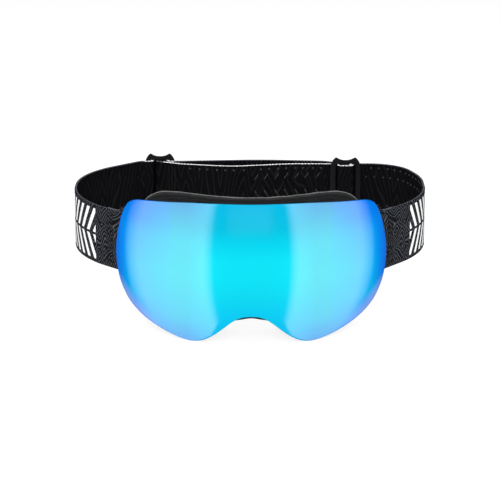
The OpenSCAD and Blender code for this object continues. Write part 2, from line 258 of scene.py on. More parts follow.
def studio():
    softbox("top_light", place=(0, 0.3, 1.8), size=(2.2, 2.2), power=22)
    softbox("front_light", place=(0, -2.2, 1.1), size=(1.6, 1.2), power=62)
    side_wall("left_wall", LEFT, fade_start=0.2, fade_end=0.64)
    side_wall("right_wall", RIGHT, fade_start=0.14, fade_end=0.52)
    world = bpy.data.worlds.new("studio")
    world.use_nodes = True
    tree = world.node_tree
    background = tree.nodes["Background"]
    path = tree.nodes.new("ShaderNodeLightPath")
    strength = tree.nodes.new("ShaderNodeMapRange")
    strength.inputs["To Min"].default_value = ROOM_LIGHT
    tree.links.new(path.outputs["Is Camera Ray"], strength.inputs["Value"])
    tree.links.new(strength.outputs["Result"], background.inputs["Strength"])
    background.inputs["Color"].default_value = (1, 1, 1, 1)
    bpy.context.scene.world = world
    bpy.context.scene.view_settings.view_transform = "Standard"


def floor():
    made = Shade("pale_floor", Roughness=0.9, Base_Color=(0.25, 0.25, 0.25, 1),
        Emission_Color=(1, 1, 1, 1), Emission_Strength=FLOOR_GLOW)
    z = CAD_BOX[0].z - FLOOR_DROP
    corners = [(FLOOR_HALF * x, FLOOR_HALF * y, z) for x, y in ((-1, -1), (1, -1), (1, 1), (-1, 1))]
    piece = mesh_piece("floor", corners, [(0, 1, 2, 3)], [made.material])
    piece.visible_glossy = False


# ---- materials
class Shade:
    """A material with a Principled shader, and short calls for the nodes that feed it."""

    def __init__(self, name, **finish):
        self.material = bpy.data.materials.new(name)
        self.material.use_nodes = True
        self.tree = self.material.node_tree
        self.shader = self.tree.nodes["Principled BSDF"]
        for socket, value in finish.items():
            self.set(socket.replace("_", " "), value)

    def set(self, socket, value):
        feed(self.tree, self.shader.inputs[socket], value)

    def put(self, kind, inputs=(), **settings):
        node = self.tree.nodes.new("ShaderNode" + kind)
        for key, value in settings.items():
            setattr(node, key, value)
        for key, value in dict(inputs).items():
            feed(self.tree, node.inputs[key], value)
        return node

    def place(self):
        """Object coordinates, in metres."""
        return self.put("TexCoord").outputs["Object"]

    def along_strap(self):
        """Distance along the strap and height on it, in metres."""
        return self.put("UVMap", uv_map="webbing").outputs["UV"]

    def parts(self, vector):
        return tuple(self.put("SeparateXYZ", {0: vector}).outputs)

    def maths(self, operation, *values):
        return self.put("Math", dict(enumerate(values)), operation=operation).outputs[0]

    def scaled(self, vector, factors):
        return self.put("Mapping", {"Vector": vector, "Scale": factors}).outputs[0]

    def noise(self, vector, scale, detail=2.0):
        inputs = {"Vector": vector, "Scale": scale, "Detail": detail}
        return self.put("TexNoise", inputs).outputs[0]

    def cells(self, vector, scale, **settings):
        node = self.put("TexVoronoi", {"Vector": vector, "Scale": scale}, **settings)
        return node.outputs["Distance"]

    def ramp(self, value, *stops):
        node = self.put("ValToRGB", {0: value})
        elements = node.color_ramp.elements
        while len(elements) < len(stops):
            elements.new(0.5)
        for element, (position, colour) in zip(elements, stops):
            element.position = position
            element.color = (*colour, 1) if isinstance(colour, tuple) else (colour,) * 3 + (1,)
        return node.outputs[0]

    def range(self, value, low, high, to_low=0.0, to_high=1.0):
        inputs = {"Value": value, "From Min": low, "From Max": high,
            "To Min": to_low, "To Max": to_high}
        return self.put("MapRange", inputs).outputs[0]

    def mix(self, factor, a, b):
        return self.put("Mix", {0: factor, 6: a, 7: b}, data_type="RGBA").outputs[2]

    def times(self, a, b):
        return self.maths("MULTIPLY", a, b)

    def plus(self, a, b):
        return self.maths("ADD", a, b)

    def wave(self, value, length):
        return self.maths("SINE", self.times(value, 2 * pi / length))

    def colour(self, value):
        self.set("Base Color", value)

    def gloss(self, grain, low, high):
        """Roughness from low to high, over the middle of a noise."""
        self.set("Roughness", self.range(grain, 0.3, 0.7, low, high))

    def bump(self, height, distance):
        inputs = {"Height": height, "Distance": distance, "Strength": 1.0}
        self.set("Normal", self.put("Bump", inputs).outputs[0])
        return self


def feed(tree, socket, value):
    if isinstance(value, bpy.types.NodeSocket):
        tree.links.new(value, socket)
    elif isinstance(value, tuple) and len(value) == 3 and socket.type == "RGBA":
        socket.default_value = (*value, 1)
    else:
        socket.default_value = value


def darker(share, colour):
    return tuple(share * value for value in colour)


# Colour of the mirror coating from the lower edge to the upper one: down the middle, on the flanks
# and near the sides.
# Each stop is a share of the height, then green and blue. The cyan is the coating's own, but its
# changes with height and its bluer flanks and sides are painted reflection. The rim is the
# outermost strip of each side, painted a deep blue as a reflection, and the lip is the strip along
# the lower corners, painted violet as a reflection of the floor.
COAT_AND_REFLECTION_MIDDLE = [(0, 0.42, 0.78), (0.18, 0.53, 0.83), (0.39, 0.64, 0.8), (0.51, 0.68, 0.82),
    (0.62, 0.67, 0.81), (0.73, 0.57, 0.74), (0.84, 0.44, 0.63), (1, 0.39, 0.65)]
COAT_AND_REFLECTION_FLANK = [(0, 0.25, 0.7), (0.18, 0.45, 0.66), (0.39, 0.52, 0.64), (0.51, 0.54, 0.64),
    (0.73, 0.49, 0.62), (0.84, 0.39, 0.58), (1, 0.23, 0.53)]
COAT_AND_REFLECTION_EDGE = [(0, 0.24, 0.94), (0.18, 0.36, 0.94), (0.29, 0.47, 0.94), (0.51, 0.48, 0.95),
    (0.73, 0.37, 0.95), (0.84, 0.24, 0.95), (1, 0.17, 0.94)]
RIM_REFLECTION_BLUE = (0.0, 0.2, 1.0)
LIP_FLOOR_REFLECTION = (0.24, 0.42, 1.0)


def mirror_coat_and_reflection():
    """Cyan mirror coating with painted reflection: it turns blue at the sides and violet at the
    lower corners.
    """
    made = Shade("mirror_coat_and_reflection", Metallic=0.25, Specular_IOR_Level=0.0, Coat_Weight=1.0,
        Coat_Roughness=0.08, Coat_IOR=2.2)
    x, _, z = made.parts(made.place())
    height = made.range(z, -LENS_HALF_HEIGHT, LENS_HALF_HEIGHT)
    # Painted reflection: the tone changes with height, the sides and rim turn blue and the lower
    # corners violet.
    middle, flank, edge = [
        made.ramp(height, *[(at, (0.0, green, blue)) for at, green, blue in stops])
        for stops in (COAT_AND_REFLECTION_MIDDLE, COAT_AND_REFLECTION_FLANK, COAT_AND_REFLECTION_EDGE)]
    across = made.range(made.maths("ABSOLUTE", x), 0.0, LENS_HALF_WIDTH)
    colour = made.mix(made.range(across, 0.28, 0.46), middle, flank)
    colour = made.mix(made.range(across, 0.55, 0.83), colour, edge)
    colour = made.mix(made.range(across, 0.88, 0.98), colour, RIM_REFLECTION_BLUE)
    lip = made.range(made.maths("SUBTRACT", across, height), 0.57, 0.66)
    colour = made.mix(lip, colour, LIP_FLOOR_REFLECTION)
    streaks = made.noise(made.scaled(made.place(), (30, 30, 2)), 1.0, 3)
    made.colour(made.mix(made.range(streaks, 0.3, 0.7, 0, 0.05), colour, (0, 0.6, 0.7)))
    made.gloss(streaks, 0.38, 0.46)
    return made.material


def hard_surface(name, scale, detail, tones, gloss, depth=0.0, **finish):
    """A hard shiny surface: a faint haze in its tone and gloss, and perhaps a fine grain."""
    made = Shade(name, **finish)
    haze = made.noise(made.place(), scale, detail)
    made.colour(made.ramp(haze, (0.3, tones[0]), (0.7, tones[1])))
    made.gloss(haze, *gloss)
    if depth:
        made.bump(haze, depth)
    return made.material


def smoke_back():
    """The lens's inner face: a smoky tint with a hard gloss."""
    return hard_surface("smoke_back", 40, 3, [(0.01, 0.016, 0.02), (0.02, 0.03, 0.036)],
        (0.1, 0.18), Coat_Weight=1.0, Coat_Roughness=0.04)


def lens_edge():
    """Cut edge of the lens, painted a dark teal as a painted highlight: it stands in for the light
    the polycarbonate edge catches.
    """
    return hard_surface("lens_edge", 400, 2, [(0.01, 0.09, 0.16), (0.02, 0.16, 0.24)],
        (0.2, 0.34), 0.02 * MM, Coat_Weight=0.6, Coat_Roughness=0.1)


def clear_lens():
    """Inner lens: a thin clear pane whose gloss shows over the dark lens in front of it."""
    return hard_surface("clear_lens", 25, 2, [(0.012, 0.015, 0.017), (0.02, 0.024, 0.027)],
        (0.05, 0.09), Alpha=0.45, Coat_Weight=1.0, Coat_Roughness=0.03, Specular_IOR_Level=0.5)


def moulded(name, colour, roughness, grain=900, depth=0.03):
    """Moulded plastic: a fine spark-eroded grain and a slight change of tone."""
    made = Shade(name, Specular_IOR_Level=0.25)
    place = made.place()
    fine = made.noise(place, grain, 3)
    broad = made.noise(place, 45, 3)
    made.colour(made.mix(made.range(broad, 0.3, 0.7), darker(0.75, colour), colour))
    made.gloss(broad, roughness - 0.06, roughness + 0.08)
    return made.bump(fine, depth * MM).material


def foam(name, colour, cell_scale, depth):
    """Open-cell foam: small pores between soft struts, darkened as painted shade in the holes."""
    made = Shade(name, Roughness=0.95, Specular_IOR_Level=0.12)
    place = made.place()
    pores = made.cells(place, cell_scale)
    coarse = made.noise(place, cell_scale * 0.25, 3)
    tone = made.mix(made.range(coarse, 0.3, 0.7), darker(0.7, colour), colour)
    # Painted shade: the pores are darkened to about a third of the foam's tone.
    made.colour(made.mix(made.range(pores, 0.1, 0.5), darker(0.35, colour), tone))
    return made.bump(made.plus(pores, coarse), depth * MM).material


def fleece():
    """Brushed microfleece: short fibres in tufts, with a velvet sheen."""
    made = Shade("fleece", Roughness=1.0, Specular_IOR_Level=0.1, Sheen_Weight=0.15)
    place = made.place()
    fibres = made.noise(made.scaled(place, (1500, 1500, 600)), 1.0, 4)
    tufts = made.noise(place, 520, 3)
    nap = made.plus(tufts, fibres)
    nap_share = made.range(nap, 0.6, 1.4)
    made.colour(made.ramp(nap_share, (0.0, 0.07), (0.6, 0.13), (1.0, 0.2)))
    return made.bump(nap, 0.22 * MM).material


def metal(name, colour, roughness):
    made = Shade(name, Metallic=1.0)
    lines = made.noise(made.scaled(made.place(), (300, 300, 2500)), 1.0, 3)
    made.colour(made.mix(lines, darker(0.8, colour), colour))
    made.gloss(lines, roughness - 0.05, roughness + 0.1)
    return made.bump(lines, 0.01 * MM).material


RIB_SPACING = 0.9 * MM
WEFT_SPACING = 1.3 * MM
DASH_SPACING = 2.4 * MM


def knit(made, uv):
    """Height of an elastic knit: fine ribs along the strap, crossed by the weft."""
    along, height, _ = made.parts(uv)
    rib = made.wave(height, RIB_SPACING)
    shift = made.times(rib, 0.6)
    turn = made.plus(made.times(along, 2 * pi / WEFT_SPACING), shift)
    weft = made.maths("SINE", turn)
    return made.times(made.plus(rib, weft), 0.25)


def contour(made, uv, cell, spacing, width, seed):
    """1 on nested angular contour lines and 0 between them."""
    wobble = made.put("TexNoise", {"Vector": uv, "Scale": 1 / cell, "Detail": 1.0})
    shift = made.put("VectorMath", {0: wobble.outputs["Color"], 1: (0.6 * cell,) * 3, 2: uv},
        operation="MULTIPLY_ADD")
    moved = made.put("VectorMath", {0: shift.outputs[0], 1: (seed, seed, 0)}, operation="ADD")
    far = made.cells(moved.outputs[0], 1 / cell, distance="MANHATTAN")
    wave = made.maths("PINGPONG", made.times(far, cell / spacing), 0.5)
    share = width / spacing / 2
    return made.range(wave, share + 0.06, share - 0.02)


def within(made, value, low, high):
    above = made.maths("GREATER_THAN", value, low)
    below = made.maths("LESS_THAN", value, high)
    return made.times(above, below)


GRAPHIC_LENGTH = 62 * MM
GRAPHIC_PERIOD = 9 * MM
GRAPHIC_ROW = (0.9 * MM, 17.4 * MM)
GRAPHIC_SLANT = 0.62
GRAPHIC_BAR_SHARE = 0.44


def chevrons(made, along, height):
    """1 on a generic band of slanted bars in two rows that mirror each other."""
    rise = made.maths("ABSOLUTE", made.maths("SUBTRACT", height, STRAP_HEIGHT))
    rows = within(made, rise, *GRAPHIC_ROW)
    turn = made.plus(along, made.times(rise, GRAPHIC_SLANT))
    share = made.maths("FRACT", made.maths("DIVIDE", turn, GRAPHIC_PERIOD))
    bars = made.times(within(made, share, 0.0, GRAPHIC_BAR_SHARE), rows)
    return made.times(bars, within(made, along, 0.0, GRAPHIC_LENGTH))


def webbing_outside():
    """Charcoal webbing with a woven contour-line pattern and a pale printed band."""
    made = Shade("webbing_outside", Roughness=0.85, Specular_IOR_Level=0.08)
    uv = made.along_strap()
    along, height, _ = made.parts(uv)
    weave = knit(made, uv)
    lines = contour(made, uv, cell=15 * MM, spacing=2.6 * MM, width=0.55 * MM, seed=0.31)
    tone = made.mix(made.noise(uv, 90, 3), (0.003, 0.0033, 0.0045), (0.006, 0.0066, 0.009))
    ground = made.mix(lines, tone, (0.075, 0.081, 0.094))
    printed = chevrons(made, along, height)
    made.colour(made.mix(printed, ground, (0.86, 0.87, 0.88)))
    lift = made.plus(weave, made.times(lines, 0.35))
    return made.bump(lift, 0.12 * MM).material


def webbing_inside():
    """Near-black inner face with thin raised silicone contour lines."""
    made = Shade("webbing_inside", Specular_IOR_Level=0.07)
    uv = made.along_strap()
    drawn_out = made.scaled(uv, (1, 0.3, 1))
    lines = contour(made, drawn_out, cell=22 * MM, spacing=3.6 * MM, width=0.5 * MM, seed=0.77)
    tone = made.mix(made.noise(uv, 90, 3), (0.0015, 0.0015, 0.002), (0.0035, 0.0035, 0.0042))
    made.colour(made.mix(lines, tone, (0.007, 0.007, 0.008)))
    made.set("Roughness", made.range(lines, 0, 1, 0.85, 0.3))
    lift = made.plus(knit(made, uv), made.times(lines, 2.0))
    return made.bump(lift, 0.1 * MM).material


def selvedge(name, low, high):
    """Edge of the webbing, where the elastic threads show in short dashes."""
    made = Shade(name, Roughness=0.85, Specular_IOR_Level=0.15)
    along, _, _ = made.parts(made.along_strap())
    dash = made.wave(along, DASH_SPACING)
    made.colour(made.ramp(made.range(dash, -1, 1), (0.1, low), (0.35, high)))
    return made.bump(dash, 0.1 * MM).material


def silicone():
    return hard_surface("silicone", 800, 2, (0.01, 0.02), (0.16, 0.26),
        Coat_Weight=0.5, Coat_Roughness=0.08)


def thread():
    made = Shade("thread", Roughness=0.8, Specular_IOR_Level=0.25)
    inputs = {"Vector": made.place(), "Scale": 900.0}
    twist = made.put("TexWave", inputs, bands_direction="DIAGONAL").outputs[1]
    made.colour(made.ramp(twist, (0.2, 0.008), (0.8, 0.02)))
    return made.bump(twist, 0.05 * MM).material


# ---- mesh tools
QUARTER_TURN = [radians(90 * k / 4) for k in range(5)]
ROD_STEPS = 40


def mesh_piece(name, points, faces, materials, indices=None, uv=None):
    """A smooth-shaded mesh object, its normals outwards; uv is one pair for each point."""
    mesh = bpy.data.meshes.new(name)
    mesh.from_pydata([tuple(map(float, p)) for p in points], [], faces)
    for material in materials:
        mesh.materials.append(material)
    if indices is not None:
        mesh.polygons.foreach_set("material_index", indices)
    if uv is not None:
        layer = mesh.uv_layers.new(name="webbing")
        corners = np.array([loop.vertex_index for loop in mesh.loops])
        layer.data.foreach_set("uv", np.asarray(uv)[corners].astype(np.float32).ravel())
    tidy_normals(mesh)
    return linked(name, mesh)


def tidy_normals(mesh, sharp=radians(50), merge=0.0):
    """Turns the faces outwards and shades them smooth, after merging close points if asked."""
    work = bmesh.new()
    work.from_mesh(mesh)
    if merge:
        bmesh.ops.remove_doubles(work, verts=work.verts, dist=merge)
    bmesh.ops.recalc_face_normals(work, faces=work.faces)
    work.to_mesh(mesh)
    work.free()
    mesh.polygons.foreach_set("use_smooth", [True] * len(mesh.polygons))
    mesh.set_sharp_from_angle(angle=sharp)


def loft_faces(rings, points, closed):
    """Quads between successive rings of points; an open loft gets a cap on each end."""
    faces = []
    for i in range(rings if closed else rings - 1):
        low, high = i * points, (i + 1) % rings * points
        for j in range(points):
            k = (j + 1) % points
            faces.append((low + j, low + k, high + k, high + j))
    if not closed:
        faces.append(tuple(range(points)))
        faces.append(tuple(range((rings - 1) * points, rings * points)))
    return faces


def loft(name, rings, materials, closed=True):
    rings = np.asarray(rings)
    faces = loft_faces(len(rings), rings.shape[1], closed)
    return mesh_piece(name, rings.reshape(-1, 3), faces, materials)


def join(name, pieces):
    """Makes one object of several, keeping their materials."""
    with bpy.context.temp_override(active_object=pieces[0], object=pieces[0],
            selected_objects=pieces, selected_editable_objects=pieces):
        bpy.ops.object.join()
    pieces[0].name = name
    pieces[0].data.name = name
    return pieces[0]


def evaluated(piece):
    """The mesh that a piece's modifiers or curve settings make."""
    graph = bpy.context.evaluated_depsgraph_get()
    return bpy.data.meshes.new_from_object(piece.evaluated_get(graph))


def paint(mesh, material):
    mesh.materials.clear()
    mesh.materials.append(material)


def from_curve(name, curve):
    """The mesh of a curve."""
    shape = linked(name, curve)
    mesh = evaluated(shape)
    bpy.data.objects.remove(shape)
    return mesh


def plate(name, loops, thickness, rounding, material):
    """A flat plate with rounded rims, from closed loops in its own X and Y."""
    curve = bpy.data.curves.new(name, "CURVE")
    curve.dimensions = "2D"
    curve.fill_mode = "BOTH"
    curve.extrude = thickness / 2 - rounding
    curve.bevel_depth = rounding
    curve.bevel_resolution = 3
    curve.offset = -rounding
    for loop in loops:
        spline = curve.splines.new("POLY")
        spline.points.add(len(loop) - 1)
        spline.points.foreach_set("co", np.array([(x, y, 0, 1) for x, y in loop]).ravel())
        spline.use_cyclic_u = True
    mesh = from_curve(name, curve)
    tidy_normals(mesh, radians(35), merge=0.002 * MM)
    paint(mesh, material)
    return linked(name, mesh)


def rounded_rod(name, radius, low, high, place, material, bore=0.0):
    """An upright rod or tube with rounded rims, about an axis through place."""
    soft = 0.3 * radius
    core = bore or 0.02 * radius
    flat = radius - soft
    lower = [(flat + soft * sin(a), low + soft - soft * cos(a)) for a in QUARTER_TURN]
    upper = [(flat + soft * cos(a), high - soft + soft * sin(a)) for a in QUARTER_TURN]
    profile = [(core, low)] + lower + upper + [(core, high)]
    rings = []
    for k in range(ROD_STEPS):
        turn = 2 * pi * k / ROD_STEPS
        rings.append([(place[0] + r * cos(turn), place[1] + r * sin(turn), z)
            for r, z in profile])
    return loft(name, rings, [material])


# ---- outlines and surfaces
def curve_point(a, b, c, d, t):
    return 0.5 * (2 * b + (c - a) * t + (2 * a - 5 * b + 4 * c - d) * t ** 2
        + (3 * b - a - 3 * c + d) * t ** 3)


def unit(vectors):
    """One vector, or each row of several, at length 1."""
    return vectors / np.linalg.norm(vectors, axis=-1, keepdims=True)


def left_of(vectors):
    """One vector, or each row of several, turned a quarter turn to the left."""
    return np.stack([-vectors[..., 1], vectors[..., 0]], axis=-1)


def distances(points):
    """Distance along a line at each of its points."""
    steps = np.linalg.norm(np.diff(points, axis=0), axis=1)
    return np.concatenate([[0], np.cumsum(steps)])


def resampled(points, count):
    """The same line with count even steps."""
    lengths = distances(points)
    wanted = np.linspace(0, lengths[-1], count + 1)
    return np.column_stack([np.interp(wanted, lengths, row) for row in points.T])


def smooth_line(before, points, after, steps):
    """A finer line through points, with a curve between each pair."""
    ends = np.vstack([before, points, after])
    fine = [curve_point(*ends[i:i + 4], k / steps)
        for i in range(len(points) - 1) for k in range(steps)]
    return np.vstack([fine, points[-1]])


def outline(half):
    """A smooth closed outline through a right half and its mirror image, in metres."""
    right = np.array(half, float) * MM
    flip = np.array([-1, 1])
    fine = smooth_line(right[1] * flip, right, right[-2] * flip, 12)
    line = resampled(fine, OUTLINE_STEPS)
    return np.vstack([line, line[-2:0:-1] * flip])


def grown(points, distance):
    """Moves a closed outline outwards by a distance."""
    along = np.roll(points, -1, axis=0) - np.roll(points, 1, axis=0)
    return points + distance * left_of(unit(along))


LENS_LINE = outline(LENS_HALF)
FRAME_LINE = outline(FRAME_HALF)
EYE_LINE = outline(EYE_HALF)
FOAM_LINE = grown(EYE_LINE, -FOAM_OVERLAP)
RIM_LINE = grown(EYE_LINE, RIM_WIDTH)


def lens_y(x, z, depth):
    """Y of the lens surface's parallel at a depth, straight behind a point of its front."""
    reach = LENS_ARC_MIDDLE + np.sqrt((LENS_RADIUS_UP - depth) ** 2 - z ** 2)
    return LENS_AXIS_Y - np.sqrt(reach ** 2 - x ** 2)


def behind_lens(line, depth):
    x, z = line.T
    return np.column_stack([x, lens_y(x, z, depth), z])


def into_lens(line, depth):
    """Points of the front surface moved square into the lens by a depth."""
    x, z = line.T
    rise = np.sqrt(1 - (z / LENS_RADIUS_UP) ** 2)
    turn = np.arcsin(x / (LENS_ARC_MIDDLE + LENS_RADIUS_UP * rise))
    reach = LENS_ARC_MIDDLE + (LENS_RADIUS_UP - depth) * rise
    return np.column_stack([reach * np.sin(turn), LENS_AXIS_Y - reach * np.cos(turn),
        z * (1 - depth / LENS_RADIUS_UP)])


def face_y(x, radius):
    return FACE_AXIS_Y - np.sqrt(radius ** 2 - x ** 2)


def above_nose(x, y, z):
    """Lifts low points in the middle to the top of the nose tunnel."""
    inside = np.abs(x) < NOSE_RADIUS
    crown = np.sqrt(np.where(inside, NOSE_RADIUS ** 2 - x ** 2, 0))
    top = (NOSE_FRONT[1] + (y - NOSE_FRONT[0]) * tan(NOSE_SLOPE)
        - (NOSE_RADIUS - crown) / cos(NOSE_SLOPE))
    return np.where(inside & (z < 0), np.maximum(z, top), z)


def ring_between(inner, outer, share, depth_of):
    """One ring a share of the way from an inner to an outer outline, over the nose tunnel."""
    x, z = outer.T
    z = above_nose(x, depth_of(x, z), z)
    x = inner[:, 0] * (1 - share) + x * share
    z = inner[:, 1] * (1 - share) + z * share
    return np.column_stack([x, depth_of(x, z), z])


def ring_loft(name, section, inner, outer, depth_of, material):
    """A ring over the nose tunnel. Its section's points are shares across and front to back."""
    rings = [ring_between(inner, outer, s, lambda x, z, s=s, t=t: depth_of(x, z, s, t))
        for s, t in section]
    return loft(name, np.swapaxes(rings, 0, 1), [material])


def pillow(power, count=28):
    """A rounded square from 0 to 1 both ways, squarer with a higher power."""
    points = []
    for k in range(count):
        angle = 2 * pi * (k + 0.5) / count
        c, s = cos(angle), sin(angle)
        points.append((0.5 + 0.5 * copysign(abs(c) ** (2 / power), c),
            0.5 + 0.5 * copysign(abs(s) ** (2 / power), s)))
    return points


# ---- lens unit
# A lens is lofted from rings about its middle: the front, the edge and the back.
LENS_MIDDLE = np.array([0, 4 * MM])
LENS_GRID = np.linspace(0.02, 1, 34)
FRONT_END = len(LENS_GRID) + 2
BACK_START = FRONT_END + 4


def lens_shell(name, line, front, back, rounding, place, materials):
    """A curved lens: its front, a rounded edge, and its back."""
    flat = grown(line, -rounding)
    rings = [place(LENS_MIDDLE + (flat - LENS_MIDDLE) * k, front) for k in LENS_GRID]
    rings += [place(grown(line, rounding * (sin(a) - 1)), front + rounding * (1 - cos(a)))
        for a in QUARTER_TURN[1:]]
    rings += [place(grown(line, rounding * (cos(a) - 1)), back - rounding * (1 - sin(a)))
        for a in QUARTER_TURN]
    rings += [place(LENS_MIDDLE + (flat - LENS_MIDDLE) * k, back) for k in LENS_GRID[-2::-1]]
    piece = loft(name, rings, materials, closed=False)
    for face in piece.data.polygons:
        ring = min(face.vertices) // len(line)
        if len(face.vertices) > 4:
            face.material_index = 0 if ring == 0 else len(materials) - 1
        elif len(materials) > 1:
            face.material_index = 0 if ring < FRONT_END else (1 if ring < BACK_START else 2)
    return piece


def lens_ring(name, inner, outer, front, back, power, material):
    def depth(x, z, _, t):
        return lens_y(x, z, front + t * (back - front))

    return ring_loft(name, pillow(power), inner, outer, depth, material)


def lens_unit():
    shell = lens_shell("lens_shell", LENS_LINE, 0, LENS_BACK, 0.45 * MM, into_lens,
        [mirror_coat_and_reflection(), lens_edge(), smoke_back()])
    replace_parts(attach(shell, "lens_unit"), "outer_lens")
    spacer = lens_ring("spacer_foam", grown(EYE_LINE, SPACER_INSET), RIM_LINE, LENS_BACK,
        GASKET_BACK, 5, foam("gasket_foam", (0.03, 0.03, 0.032), 1600, 0.15))
    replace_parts(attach(spacer, "lens_unit"), "lens_gasket")
    inner = lens_shell("inner_lens_shell", RIM_LINE, GASKET_BACK, INNER_LENS_BACK, 0.3 * MM,
        behind_lens, [clear_lens()])
    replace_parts(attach(inner, "lens_unit"), "inner_lens")
    carrier = lens_ring("carrier_ring", EYE_LINE, RIM_LINE, INNER_LENS_BACK, CARRIER_BACK,
        9, moulded("carrier_plastic", (0.012, 0.012, 0.013), 0.42))
    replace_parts(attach(carrier, "lens_unit"), "lens_carrier")
    magnet = metal("magnet_nickel", (0.62, 0.6, 0.57), 0.25)
    for node in ("lens_magnets", "frame_magnets"):
        repaint(node, magnet)


def repaint(node, material):
    """Gives a CAD node its detailed material."""
    paint(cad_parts[node].data, material)


# ---- frame
FRAME_SECTION = [(0.02, 0.0), (0.0, 0.03), (0.0, 0.5), (0.0, 0.97), (0.02, 1.0), (0.5, 1.0),
    (0.96, 1.0), (1.0, 0.97), (1.0, 0.9), (0.9, 0.88), (0.9, 0.84), (1.0, 0.82), (1.0, 0.6),
    (0.93, 0.585), (0.93, 0.56), (1.0, 0.545), (1.0, 0.5), (1.0, 0.2), (1.0, 0.05),
    (0.97, 0.015), (0.9, 0.0), (0.5, 0.0)]


def frame_ring():
    def depth(x, z, _, t):
        return (1 - t) * lens_y(x, z, FRAME_FRONT) + t * face_y(x, FLANGE_BACK)

    return ring_loft("frame_shell", FRAME_SECTION, EYE_LINE, FRAME_LINE, depth, soft_frame)


def vent_cutter(angle, size, low, high):
    """A rounded upright prism at an angle about the vents' middle."""
    block = bmesh.new()
    bmesh.ops.create_cube(block, size=1)
    bmesh.ops.scale(block, vec=(*size, high - low), verts=block.verts)
    upright = [e for e in block.edges if abs(e.verts[0].co.z - e.verts[1].co.z) > 0.01]
    bmesh.ops.bevel(block, geom=upright, offset=VENT_CORNER, segments=5, profile=0.5,
        affect="EDGES")
    turn = radians(angle)
    place = Matrix.Translation((VENT_RADIUS * sin(turn),
        VENT_MIDDLE_Y - VENT_RADIUS * cos(turn), (low + high) / 2))
    bmesh.ops.transform(block, matrix=place @ Matrix.Rotation(turn, 4, "Z"), verts=block.verts)
    mesh = bpy.data.meshes.new("cutter")
    block.to_mesh(mesh)
    block.free()
    return linked("cutter", mesh)


def vent_cutters():
    """Cutters for the slots through the frame's top wall and through its lobes."""
    near, far = CUTTER_REACH
    top = [vent_cutter(angle, TOP_VENT_SIZE, near, far) for angle in TOP_VENTS]
    lobes = [vent_cutter(angle, LOBE_VENT_SIZE, -far, -near) for angle in LOBE_VENTS]
    return join("cutters", top + lobes)


def lug(side, low):
    """A lug for an arm's pin: a round end about the pin, blended into the frame's wall."""
    pin = PIN[side]
    turn = [radians(90 - 180 * k / 16) for k in range(17)]
    loop = [(side * (abs(pin.x) + BARREL_RADIUS * cos(a)), pin.y + BARREL_RADIUS * sin(a))
        for a in turn]
    loop += [(side * LUG_ROOT_X, pin.y + y) for y in LUG_ROOT_Y]
    piece = plate("lug", [loop], LUG_HEIGHT, 0.45 * MM, soft_frame)
    piece.data.transform(Matrix.Translation((0, 0, low + LUG_HEIGHT / 2)))
    return piece


def frame_body():
    ring = frame_ring()
    cutters = vent_cutters()
    cut = ring.modifiers.new("vents", "BOOLEAN")
    cut.object = cutters
    cut.operation = "DIFFERENCE"
    cut.solver = "EXACT"
    ring.data = evaluated(ring)
    ring.modifiers.clear()
    tidy_normals(ring.data)
    bpy.data.objects.remove(cutters)
    lugs = [lug(side, low) for side in (LEFT, RIGHT) for low in LUG_LOWS]
    shell = join("frame_shell", [ring] + lugs)
    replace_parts(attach(shell, "frame"), "main_frame")


def vent_foam(name, node, x_low, x_high, top):
    """A strip of filter foam along the inside of the frame's wall."""
    across, up = EYE_LINE.T
    picked = np.where((across > x_low) & (across < x_high) & ((up > 0) == top))[0]
    order = picked[np.argsort(across[picked])]
    inner = grown(EYE_LINE, -VENT_FOAM_THICKNESS)[order]
    outer = grown(EYE_LINE, -VENT_FOAM_GAP)[order]
    rings = []
    for s, t in pillow(6, 20):
        flat = inner * (1 - s) + outer * s
        x, z = flat.T
        front = lens_y(x, z, VENT_FOAM_FRONT)
        back = face_y(x, FLANGE_BACK) - VENT_FOAM_BACK_GAP
        rings.append(np.column_stack([x, front * (1 - t) + back * t, z]))
    piece = loft(name, np.swapaxes(rings, 0, 1), [filter_foam], closed=False)
    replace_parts(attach(piece, "frame"), node)


# ---- face foam
def face_layer(name, node, slot, near, far, power, material, swell=0.0):
    """One layer of the face pad: a ring between two cylinders, with a rounded section."""
    def depth(x, _, s, t):
        crown = swell * sin(pi * s) * (1 - t)
        return face_y(x, near + t * (far - near) - crown)

    piece = ring_loft(name, pillow(power), FOAM_LINE, FRAME_LINE, depth, material)
    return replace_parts(piece, node)


def soften(piece, amount, size):
    """Small uneven swells over a soft piece, along its normals."""
    for vertex in piece.data.vertices:
        vertex.co += vertex.normal * amount * noise.noise(vertex.co / size)


def face_pad():
    flange = face_layer("flange_plate", "face_flange", "carrier_plastic", FIRM_FOAM_BACK,
        FLANGE_BACK, 10, moulded("flange_plastic", (0.01, 0.01, 0.011), 0.5))
    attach(flange, "frame")
    layers = [
        ("firm_foam_pad", "firm_face_foam", "firm_foam", SOFT_FOAM_BACK, FIRM_FOAM_BACK, 5,
            foam("firm_foam", (0.016, 0.0165, 0.017), 1500, 0.25), 0.0),
        ("soft_foam_pad", "soft_face_foam", "soft_foam", FLEECE_BACK, SOFT_FOAM_BACK, 4,
            foam("soft_foam", (0.03, 0.031, 0.032), 1000, 0.35), 0.0),
        ("fleece_pad", "face_fleece", "fleece", FLEECE_NEAR, FLEECE_BACK, 3.5, fleece(), 0.9 * MM)]
    for name, node, slot, near, far, power, material, swell in layers:
        pad = face_layer(name, node, slot, near, far, power, material, swell)
        soften(pad, amount=0.25 * MM, size=7 * MM)
        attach(pad, "frame")


# ---- arms and pins
def capsule(length, radius):
    """A round-ended bar from the origin along +Y."""
    turn = [pi * k / 14 for k in range(15)]
    high = [(radius * cos(a), length + radius * sin(a)) for a in turn]
    low = [(-radius * cos(a), -radius * sin(a)) for a in turn]
    return high + low


